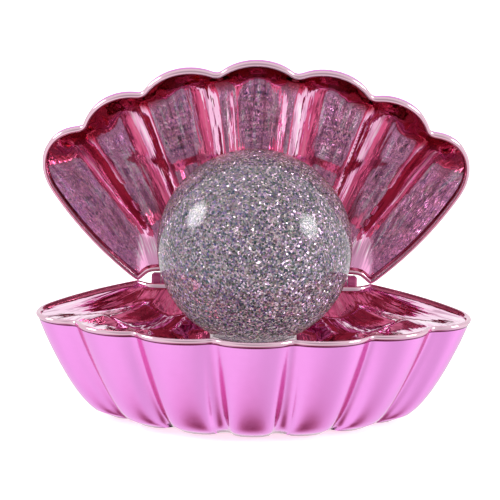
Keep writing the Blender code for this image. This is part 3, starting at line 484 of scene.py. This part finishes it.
def make_fan(name, node, height_of, lid, finish):
    """Mirror-finished fan with an even wall.

    The finish gets the place across and along the flutes, and a zone that is 1 on the flutes. On the lid
    the zone falls to 0 in the front edge band, painted as a dark reflection, and rises to 2 along the side
    and rear edges, painted as a sheen.
    """
    edge = inset(OUTLINE, FAN_INSET)
    rings = []
    for step in range(1, FAN_RINGS + 1):
        scale = math.sin(math.pi / 2.0 * step / FAN_RINGS) ** FAN_SPREAD
        outline = scaled(edge, FAN_CENTRE, scale)
        rings.append(ring_at(outline, height_of(outline) - EDGE_DROP))
    under = [ring - (0.0, 0.0, FAN_THICK) for ring in reversed(rings)]
    middle = np.array([(0.0, FAN_CENTRE)])
    pole = ring_at(middle, height_of(middle) - EDGE_DROP)[0]
    made = ring_solid(name, rings + under, lid, pole, pole - (0.0, 0.0, FAN_THICK))
    flat = np.concatenate([ring[:, :2] for ring in rings + under] + [middle, middle])
    angle = np.arctan2(flat[:, 0], flat[:, 1] - FLUTE_ORIGIN)
    along = np.hypot(flat[:, 0], flat[:, 1] - FLUTE_ORIGIN)
    zone = np.ones(len(flat))
    if lid:
        away, front = rim_distance(flat)
        zone -= front * (1.0 - eased((away - STREAK_START) / STREAK_START))
        zone += (1.0 - front) * (1.0 - eased((away - SHEEN[0]) / SHEEN[1]))
    flow = np.column_stack((angle * WIDTH, along, zone))
    attribute = made.data.attributes.new("flow", "FLOAT_VECTOR", "POINT")
    attribute.data.foreach_set("vector", flow.ravel().astype(np.float32))
    finish_piece(made, finish, "lid" if lid else "base", node)


# ---------------------------------------------------------------- globe

def lathe(profile, steps, centre):
    """Points and faces of a (radius, height) profile spun round the vertical; ends at radius 0 are poles."""
    turn = 2.0 * math.pi * np.arange(steps) / steps
    points = []
    starts = []
    for radius, height in profile:
        pole = radius == 0.0
        starts.append((len(points), pole))
        for angle in turn[:1] if pole else turn:
            spot = (radius * math.cos(angle), radius * math.sin(angle), height)
            points.append(tuple(np.array(spot) + centre))
    faces = []
    for (low, low_pole), (high, high_pole) in zip(starts, starts[1:]):
        for i in range(steps):
            after = (i + 1) % steps
            corners = [low if low_pole else low + i]
            if not low_pole:
                corners.append(low + after)
            if not high_pole:
                corners.append(high + after)
            corners.append(high if high_pole else high + i)
            faces.append(corners)
    return points, faces


def sphere_profile(radius, steps):
    """Half circle from the bottom pole to the top pole."""
    angles = math.pi * np.arange(steps + 1) / steps
    return [(radius * math.sin(a) if 0 < i < steps else 0.0, -radius * math.cos(a))
            for i, a in enumerate(angles)]


def make_globe(glass, core, flake):
    """Clear ball with a glittering core and loose flakes just above it."""
    points, faces = lathe(sphere_profile(GLOBE_RADIUS, GLOBE_RINGS), GLOBE_STEPS, GLOBE_CENTRE)
    made = new_piece("globe_ball", points, faces)
    finish_piece(made, glass, "base", "globe_shell")
    core_profile = sphere_profile(GLOBE_RADIUS * CORE_RADIUS, GLOBE_RINGS)
    points, faces = lathe(core_profile, GLOBE_STEPS, GLOBE_CENTRE)
    made = new_piece("glitter_core", points, faces)
    finish_piece(made, core, "base", "glitter_fill")
    make_flakes(flake)


def make_flakes(finish):
    """Thousands of little hexagonal plates scattered over the core."""
    rng = np.random.default_rng(FLAKE_SEED)
    corners = np.arange(FLAKE_SIDES) * 2.0 * math.pi / FLAKE_SIDES
    points = []
    faces = []
    for _ in range(FLAKES):
        outward = rng.normal(size=3)
        outward /= np.linalg.norm(outward)
        tilt = outward + rng.normal(size=3) * FLAKE_TILT
        tilt /= np.linalg.norm(tilt)
        side = np.cross(tilt, rng.normal(size=3))
        side /= np.linalg.norm(side)
        across = np.cross(tilt, side)
        size = rng.uniform(*FLAKE_SIZE)
        lift = GLOBE_RADIUS * (CORE_RADIUS + rng.uniform(*FLAKE_LIFT))
        centre = np.array(GLOBE_CENTRE) + outward * lift
        start = len(points)
        for level in (-0.5, 0.5):
            for angle in corners:
                edge = side * math.cos(angle) + across * math.sin(angle)
                points.append(centre + edge * size + tilt * FLAKE_THICK * level)
        low = list(range(start, start + FLAKE_SIDES))
        high = [corner + FLAKE_SIDES for corner in low]
        faces += [low[::-1], high]
        faces += band_faces(low[0], high[0], FLAKE_SIDES)
    made = new_piece("glitter_flakes", points, faces, sharp=20.0)
    finish_piece(made, finish, "base", None)


# ---------------------------------------------------------------- materials

class Graph:
    """A node tree under construction."""

    def __init__(self, tree):
        self.tree = tree

    def add(self, kind, **values):
        """A node with the given properties."""
        node = self.tree.nodes.new(kind)
        for key, value in values.items():
            setattr(node, key, value)
        return node

    def join(self, source, target):
        """Links an output to an input, or sets the input to a plain value."""
        if isinstance(source, bpy.types.NodeSocket):
            self.tree.links.new(source, target)
        else:
            target.default_value = source

    def remap(self, source, low, high, to_low, to_high, smooth=False):
        """Maps a range onto another."""
        node = self.add("ShaderNodeMapRange")
        if smooth:
            node.interpolation_type = "SMOOTHSTEP"
        self.join(source, node.inputs["Value"])
        for key, value in (("From Min", low), ("From Max", high), ("To Min", to_low), ("To Max", to_high)):
            node.inputs[key].default_value = value
        return node.outputs["Result"]

    def math(self, operation, first, second=0.0):
        """One arithmetic step."""
        node = self.add("ShaderNodeMath", operation=operation)
        self.join(first, node.inputs[0])
        self.join(second, node.inputs[1])
        return node.outputs[0]

    def component(self, vector, axis):
        """The X, Y or Z of a vector."""
        node = self.add("ShaderNodeSeparateXYZ")
        self.join(vector, node.inputs[0])
        return node.outputs[axis]

    def ramp(self, source, stops):
        """A colour by a value from 0 to 1. Each stop is a value and its tone."""
        node = self.add("ShaderNodeValToRGB")
        elements = node.color_ramp.elements
        while len(elements) < len(stops):
            elements.new(0.5)
        for element, (position, tone) in zip(elements, stops):
            element.position = position
            element.color = (*tone, 1.0)
        self.join(source, node.inputs[0])
        return node.outputs[0]

    def ray(self, name):
        """What the light path says of the ray, such as its kind or its depth."""
        return self.add("ShaderNodeLightPath").outputs[name]

    def blend(self, factor, first, second):
        """Mixes two shaders."""
        node = self.add("ShaderNodeMixShader")
        for source, target in zip((factor, first, second), node.inputs):
            self.join(source, target)
        return node.outputs[0]


class Shade(Graph):
    """A material under construction, with its Principled shader."""

    def __init__(self, name):
        self.material = bpy.data.materials.new(name)
        self.material.use_nodes = True
        super().__init__(self.material.node_tree)
        self.shader = self.tree.nodes["Principled BSDF"]
        self.place = self.add("ShaderNodeTexCoord").outputs["Object"]

    def noise(self, scale, detail=3.0, stretch=(1.0, 1.0, 1.0)):
        """Soft noise from 0 to 1 in object space, in features per metre."""
        mapping = self.add("ShaderNodeMapping")
        mapping.inputs["Scale"].default_value = stretch
        self.join(self.place, mapping.inputs["Vector"])
        node = self.add("ShaderNodeTexNoise")
        node.inputs["Scale"].default_value = scale
        node.inputs["Detail"].default_value = detail
        self.join(mapping.outputs["Vector"], node.inputs["Vector"])
        return node.outputs["Fac"]

    def mix(self, factor, first, second):
        """Mixes two colours."""
        node = self.add("ShaderNodeMix", data_type="RGBA")
        self.join(factor, node.inputs["Factor"])
        for value, key in ((first, 6), (second, 7)):
            self.join((*value, 1.0) if isinstance(value, tuple) else value, node.inputs[key])
        return node.outputs[2]

    def slant(self, blend):
        """0 where the surface faces the eye and towards 1 where it turns away."""
        node = self.add("ShaderNodeLayerWeight")
        node.inputs["Blend"].default_value = blend
        return node.outputs["Facing"]

    def bump(self, height, distance):
        """Feeds a bump of the given height in metres to the shader."""
        node = self.add("ShaderNodeBump")
        node.inputs["Distance"].default_value = distance
        node.inputs["Strength"].default_value = 1.0
        self.join(height, node.inputs["Height"])
        self.join(node.outputs["Normal"], self.shader.inputs["Normal"])

    def let_through(self, kind):
        """Lets one kind of ray pass straight through the surface."""
        clear = self.add("ShaderNodeBsdfTransparent")
        surface = self.blend(self.ray(kind), self.shader.outputs[0], clear.outputs[0])
        self.join(surface, self.tree.nodes["Material Output"].inputs["Surface"])

    def set(self, **values):
        """Sets or links the shader's inputs."""
        for key, value in values.items():
            name = key.replace("_", " ").title().replace("Ior", "IOR")
            self.join((*value, 1.0) if isinstance(value, tuple) else value, self.shader.inputs[name])


def coloured(name, colour, second, scale, roughness, metallic, bump, stretch=(1.0, 1.0, 1.0)):
    """A finish with soft colour and roughness variation and a fine bump."""
    shade = Shade(name)
    noise = shade.noise(scale, 4.0, stretch)
    shade.set(base_color=shade.mix(noise, colour, second), metallic=metallic)
    shade.set(roughness=shade.remap(noise, 0.3, 0.7, roughness * 0.8, roughness * 1.25))
    shade.bump(shade.noise(scale * 6.0, 2.0, stretch), bump)
    return shade.material


def ray_depth(shade, first, *later):
    """A colour for what the eye sees directly, and darker painted shades for its reflections and their
    reflections.
    """
    depth = shade.ray("Ray Depth")
    tone = first
    for index, following in enumerate(later):
        tone = shade.mix(shade.remap(depth, index + 0.4, index + 0.6, 0.0, 1.0), tone, following)
    return tone


def satin_pink():
    """Satin magenta metal plating of the outside, paler and polished on the lip."""
    shade = Shade("pink_satin")
    lip = shade.add("ShaderNodeAttribute", attribute_name="lip").outputs["Fac"]
    # Painted sheen: paler, greyer tone where the outside is seen at a slant.
    grazing = shade.remap(shade.slant(0.5), 0.72, 0.98, 0.0, 1.0, True)
    cloud = shade.noise(60.0, 2.0)
    skin = shade.mix(cloud, SATIN, SATIN_CLOUD)
    skin = shade.mix(grazing, skin, SATIN_GRAZING_SHEEN)
    near = shade.mix(shade.remap(lip, 0.0, 1.0, 0.0, 1.0), skin, LIP_TONE)
    # Painted shadow in the seam under the lip bead.
    near = shade.mix(shade.remap(lip, 0.0, -1.0, 0.0, 1.0), near, SEAM_SHADOW)
    # Painted shade: darker, redder tone in what mirrors show of the satin.
    shade.set(base_color=ray_depth(shade, near, SATIN_REFLECTED_SHADE), metallic=1.0)
    grain = shade.remap(shade.noise(400.0, 3.0), 0.3, 0.7, 0.20, 0.27)
    shade.set(roughness=shade.math("MULTIPLY", grain, shade.remap(lip, 0.0, 1.0, 1.0, 0.2)))
    shade.bump(shade.noise(260.0, 2.0), 0.00002)
    return shade.material


def mirror_pink():
    """Mirror magenta plating of tray and liner with fine streaks along the flutes: gloss, bump and painted
    reflection.
    """
    shade = Shade("pink_mirror")
    flow = shade.add("ShaderNodeAttribute", attribute_name="flow").outputs["Vector"]
    shade.place = flow
    streaks = shade.noise(1.0, 3.0, (560.0, 55.0, 0.0))
    waves = shade.noise(1.0, 2.0, (330.0, 40.0, 0.0))
    zone = shade.component(flow, "Z")
    # Painted sheen: paler tone where the mirror is seen at a slant.
    near = shade.mix(shade.slant(0.35), MIRROR_FACE, MIRROR_GRAZING_SHEEN)
    # Painted light and dark reflection streaks, strongest on the flutes.
    bright = shade.math("MULTIPLY", shade.remap(streaks, 0.54, 0.64, 0.0, 0.75), zone)
    near = shade.mix(bright, near, STREAK_REFLECTION_LIGHT)
    dark = shade.math("MULTIPLY", shade.remap(streaks, 0.47, 0.38, 0.0, 0.75), zone)
    near = shade.mix(dark, near, STREAK_REFLECTION_DARK)
    # Painted dark reflection in the lid's front edge band, then painted sheen along its side and rear edges.
    near = shade.mix(shade.remap(zone, 0.0, 0.9, 1.0, 0.0), near, MIRROR_BAND_DARK_REFLECTION)
    near = shade.mix(shade.remap(zone, 1.0, 2.0, 0.0, 1.0), near, MIRROR_SHEEN)
    # Painted shade: darker, redder tones in what one mirror shows of another.
    shade.set(base_color=ray_depth(shade, near, *MIRROR_REFLECTED_SHADES), metallic=1.0)
    shade.set(roughness=shade.remap(streaks, 0.3, 0.7, 0.012, 0.035))
    height = shade.math("ADD", shade.math("MULTIPLY", streaks, 0.3), waves)
    shade.bump(height, 0.00026)
    return shade.material


def clear_glass():
    """Clear polished ball with faint ripples; light for other surfaces passes straight through."""
    shade = Shade("clear_globe")
    noise = shade.noise(80.0, 2.0)
    shade.set(base_color=shade.mix(noise, (0.98, 0.97, 0.98), (1.0, 0.99, 1.0)))
    shade.set(roughness=shade.remap(noise, 0.3, 0.7, 0.02, 0.07), ior=1.45, transmission_weight=1.0)
    shade.bump(shade.noise(50.0, 1.0), 0.00003)
    shade.let_through("Is Shadow Ray")
    return shade.material


def random_per_flake(shade):
    """A random colour and value for every loose flake."""
    geometry = shade.add("ShaderNodeNewGeometry")
    white = shade.add("ShaderNodeTexWhiteNoise", noise_dimensions="1D")
    shade.join(geometry.outputs["Random Per Island"], white.inputs["W"])
    return white.outputs["Color"], white.outputs["Value"]


def random_per_cell(shade):
    """A random colour and value for every cell of a packed surface, each tilted its own way."""
    cells = shade.add("ShaderNodeTexVoronoi")
    cells.inputs["Scale"].default_value = GLITTER_SCALE
    shade.join(shade.place, cells.inputs["Vector"])
    white = shade.add("ShaderNodeTexWhiteNoise", noise_dimensions="3D")
    shade.join(cells.outputs["Color"], white.inputs["Vector"])
    centred = shade.add("ShaderNodeVectorMath", operation="SUBTRACT")
    shade.join(white.outputs["Color"], centred.inputs[0])
    centred.inputs[1].default_value = (0.5, 0.5, 0.5)
    spread = shade.add("ShaderNodeVectorMath", operation="MULTIPLY_ADD")
    shade.join(centred.outputs[0], spread.inputs[0])
    spread.inputs[1].default_value = (GLITTER_TILT,) * 3
    shade.join(shade.add("ShaderNodeNewGeometry").outputs["Normal"], spread.inputs[2])
    straight = shade.add("ShaderNodeVectorMath", operation="NORMALIZE")
    shade.join(spread.outputs[0], straight.inputs[0])
    shade.join(straight.outputs[0], shade.shader.inputs["Normal"])
    return white.outputs["Color"], white.outputs["Value"]


def glitter(name, random):
    """Silver glitter: every flake or cell has its own shade and gloss, and the lower half glows a little."""
    shade = Shade(name)
    colour, value = random(shade)
    tone = shade.ramp(value, GLITTER_TONES)
    hue = shade.mix(shade.remap(value, 0.0, 1.0, 0.10, 0.22), tone, colour)
    shade.set(base_color=hue, metallic=0.85, roughness=shade.remap(value, 0.0, 1.0, 0.45, 0.2))
    height = shade.component(shade.place, "Z")
    middle = GLOBE_CENTRE[2]
    # Painted glow: brighter towards the bottom of the globe, and brighter still in reflections.
    glow = shade.remap(height, middle - GLOBE_RADIUS, middle + GLOBE_RADIUS * 0.6, 0.36, 0.05)
    glow = shade.math("MAXIMUM", glow, shade.remap(shade.ray("Ray Depth"), 1.0, 2.0, 0.0, 0.62))
    shade.set(emission_color=hue, emission_strength=glow)
    return shade.material


# ---------------------------------------------------------------- light, camera and floor

def camera_axes():
    """Right, up and back directions of the level camera."""
    level = math.cos(ELEVATION)
    back = Vector((math.sin(YAW) * level, -math.cos(YAW) * level, math.sin(ELEVATION)))
    right = (-back).cross(Vector((0.0, 0.0, 1.0))).normalized()
    up = right.cross(-back).normalized()
    return right, up, back


def make_camera():
    """Long lens from the front, a little above the rim and slightly rolled."""
    right, up, back = camera_axes()
    rolled_right = right * math.cos(ROLL) + up * math.sin(ROLL)
    rolled_up = up * math.cos(ROLL) - right * math.sin(ROLL)
    data = bpy.data.cameras.new("camera")
    data.lens = LENS
    data.sensor_width = 36.0
    camera = bpy.data.objects.new("camera", data)
    bpy.context.scene.collection.objects.link(camera)
    place = Vector(AIM) + back * DISTANCE
    matrix = camera.matrix_world.copy()
    for row in range(3):
        matrix[row][0] = rolled_right[row]
        matrix[row][1] = rolled_up[row]
        matrix[row][2] = back[row]
        matrix[row][3] = place[row]
    camera.matrix_world = matrix
    bpy.context.scene.camera = camera


def make_world():
    """White light tent, darker and pinker straight below, which the camera sees as plain white."""
    world = bpy.data.worlds.new("studio")
    bpy.context.scene.world = world
    world.use_nodes = True
    world.node_tree.nodes.clear()
    tent = Graph(world.node_tree)
    direction = tent.add("ShaderNodeTexCoord").outputs["Generated"]
    rise = tent.remap(tent.component(direction, "Z"), -1.0, 1.0, 0.0, 1.0)
    stops = [((height + 1.0) / 2.0, tone) for height, tone in TENT_TONES]
    studio = tent.add("ShaderNodeBackground")
    tent.join(tent_level(tent, direction), studio.inputs["Strength"])
    tent.join(tent.ramp(rise, stops), studio.inputs["Color"])
    plain = tent.add("ShaderNodeBackground")
    tent.join((1.0, 1.0, 1.0, 1.0), plain.inputs["Color"])
    seen = tent.blend(tent.ray("Is Camera Ray"), studio.outputs[0], plain.outputs[0])
    tent.join(seen, tent.add("ShaderNodeOutputWorld").inputs["Surface"])


def tent_level(tent, direction):
    """The tent's strength by direction: the overall level and what the patches add."""
    level = BASE_LIGHT
    for aim, outer, inner, strength in tent_patches():
        closeness = tent.add("ShaderNodeVectorMath", operation="DOT_PRODUCT")
        tent.join(direction, closeness.inputs[0])
        tent.join(Vector(aim).normalized(), closeness.inputs[1])
        edge = math.cos(math.radians(outer))
        core = math.cos(math.radians(inner))
        patch = tent.remap(closeness.outputs["Value"], edge, core, 0.0, strength, True)
        level = tent.math("ADD", patch, level)
    return level


def tent_patches():
    """Soft lights and dimmer zones: direction, outer and inner half angle in degrees, and added strength."""
    right, up, back = camera_axes()
    return ((right * -0.88 + up * 0.46 + back * 0.10, 15.0, 5.0, 12.0),
            (right * 0.88 + up * 0.35 + back * 0.31, 15.0, 5.0, 12.0),
            (back + up * 0.10, 50.0, 12.0, -0.45),
            ((-0.75, -0.55, -0.60), 45.0, 10.0, 0.10),
            ((0.70, -0.45, -0.75), 40.0, 10.0, -0.12),
            ((0.97, 0.10, -0.30), 40.0, 10.0, 0.20))


def make_floor():
    """Plain pale floor that mirrors don't see, so that they show the tent."""
    size = 3.0
    corners = [(-size, -size, 0.0), (size, -size, 0.0), (size, size, 0.0), (-size, size, 0.0)]
    floor = new_piece("floor", corners, [(0, 1, 2, 3)])
    shade = Shade("floor_paint")
    noise = shade.noise(3.0, 2.0)
    tone = shade.mix(noise, (0.93, 0.93, 0.93), (0.95, 0.95, 0.95))
    shade.set(base_color=tone, roughness=0.6, emission_color=(1.0, 1.0, 1.0))
    shade.set(emission_strength=shade.remap(shade.ray("Is Camera Ray"), 0.0, 1.0, 0.0, 0.60))
    shade.let_through("Is Glossy Ray")
    floor.data.materials.append(shade.material)


# ---------------------------------------------------------------- scene

def small_part_finishes():
    """Finishes of the parts that keep their frame shape, by the start of their name."""
    pink = coloured("dark_pink_plastic", (0.42, 0.05, 0.18), (0.50, 0.08, 0.24), 300.0, 0.38, 0.0, 0.00003)
    steel = coloured("stainless_steel", (0.56, 0.56, 0.58), (0.66, 0.66, 0.68), 500.0, 0.28, 1.0, 0.00001,
                     (1.0, 6.0, 6.0))
    rubber = coloured("clear_rubber", (0.72, 0.70, 0.72), (0.80, 0.78, 0.80), 250.0, 0.55, 0.0, 0.00003)
    white = coloured("white_plastic", (0.80, 0.80, 0.81), (0.88, 0.88, 0.89), 260.0, 0.35, 0.0, 0.00002)
    hose = coloured("clear_hose", (0.70, 0.76, 0.78), (0.80, 0.84, 0.86), 200.0, 0.18, 0.0, 0.00002)
    stone = coloured("air_stone", (0.16, 0.26, 0.48), (0.34, 0.46, 0.66), 1600.0, 0.9, 0.0, 0.0003)
    return (("base_hinge_bracket", pink), ("lid_hinge_bracket", pink), ("base_plate", pink),
            ("pin_cap", pink), ("stone_clip", white), ("air_inlet_barb", white), ("barb_nut", white),
            ("barb_seal", rubber), ("globe_plug", rubber), ("globe_seat_ring", rubber),
            ("foot_pad", rubber), ("lid_stop_pad", rubber), ("air_tube", hose), ("air_stone", stone),
            ("", steel))


def finish_small_parts():
    """Gives every part that keeps its frame shape a procedural finish."""
    finishes = small_part_finishes()
    for name, node in sorted(frame["nodes"].items()):
        finish = next(made for start, made in finishes if name.startswith(start))
        node.data.materials.clear()
        node.data.materials.append(finish)


shell_low, shell_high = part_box("lower_shell")
globe_low, globe_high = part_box("globe_shell")
SHELL_DEPTH = float(shell_high[2] - shell_low[2])
UNIT, CREST, FRONT = unit_outline()
WIDTH = float(shell_high[0] - shell_low[0]) / float(2.0 * UNIT[:, 0].max())
WALL_CENTRE = WALL_CENTRE_SHARE * WIDTH
FAN_CENTRE = FAN_CENTRE_SHARE * WIDTH
UNIT, CREST = softened(UNIT, CREST)
OUTLINE = UNIT * WIDTH
for _ in range(FRONT_PASSES):
    FRONT = neighbour_mean(FRONT)
FLUTE_ORIGIN = FLUTE_ORIGIN_SHARE * WIDTH
GLOBE_RADIUS = float(globe_high[2] - globe_low[2]) / 2.0
GLOBE_CENTRE = tuple((np.array(globe_low) + np.array(globe_high)) / 2.0)
GLOBE_REACH = float(AXIS[1] - GLOBE_CENTRE[1])

finish_small_parts()
satin = satin_pink()
mirror = mirror_pink()
make_lower_shell(satin)
make_lid_shell(satin)
make_fan("inner_tray_mirror", "inner_tray", tray_height, False, mirror)
make_fan("lid_liner_mirror", "lid_liner", liner_height, True, mirror)
make_globe(clear_glass(),
           glitter("glitter_core", random_per_cell),
           glitter("glitter_flakes", random_per_flake))
make_floor()
make_world()
make_camera()
bpy.context.scene.view_settings.view_transform = "Standard"
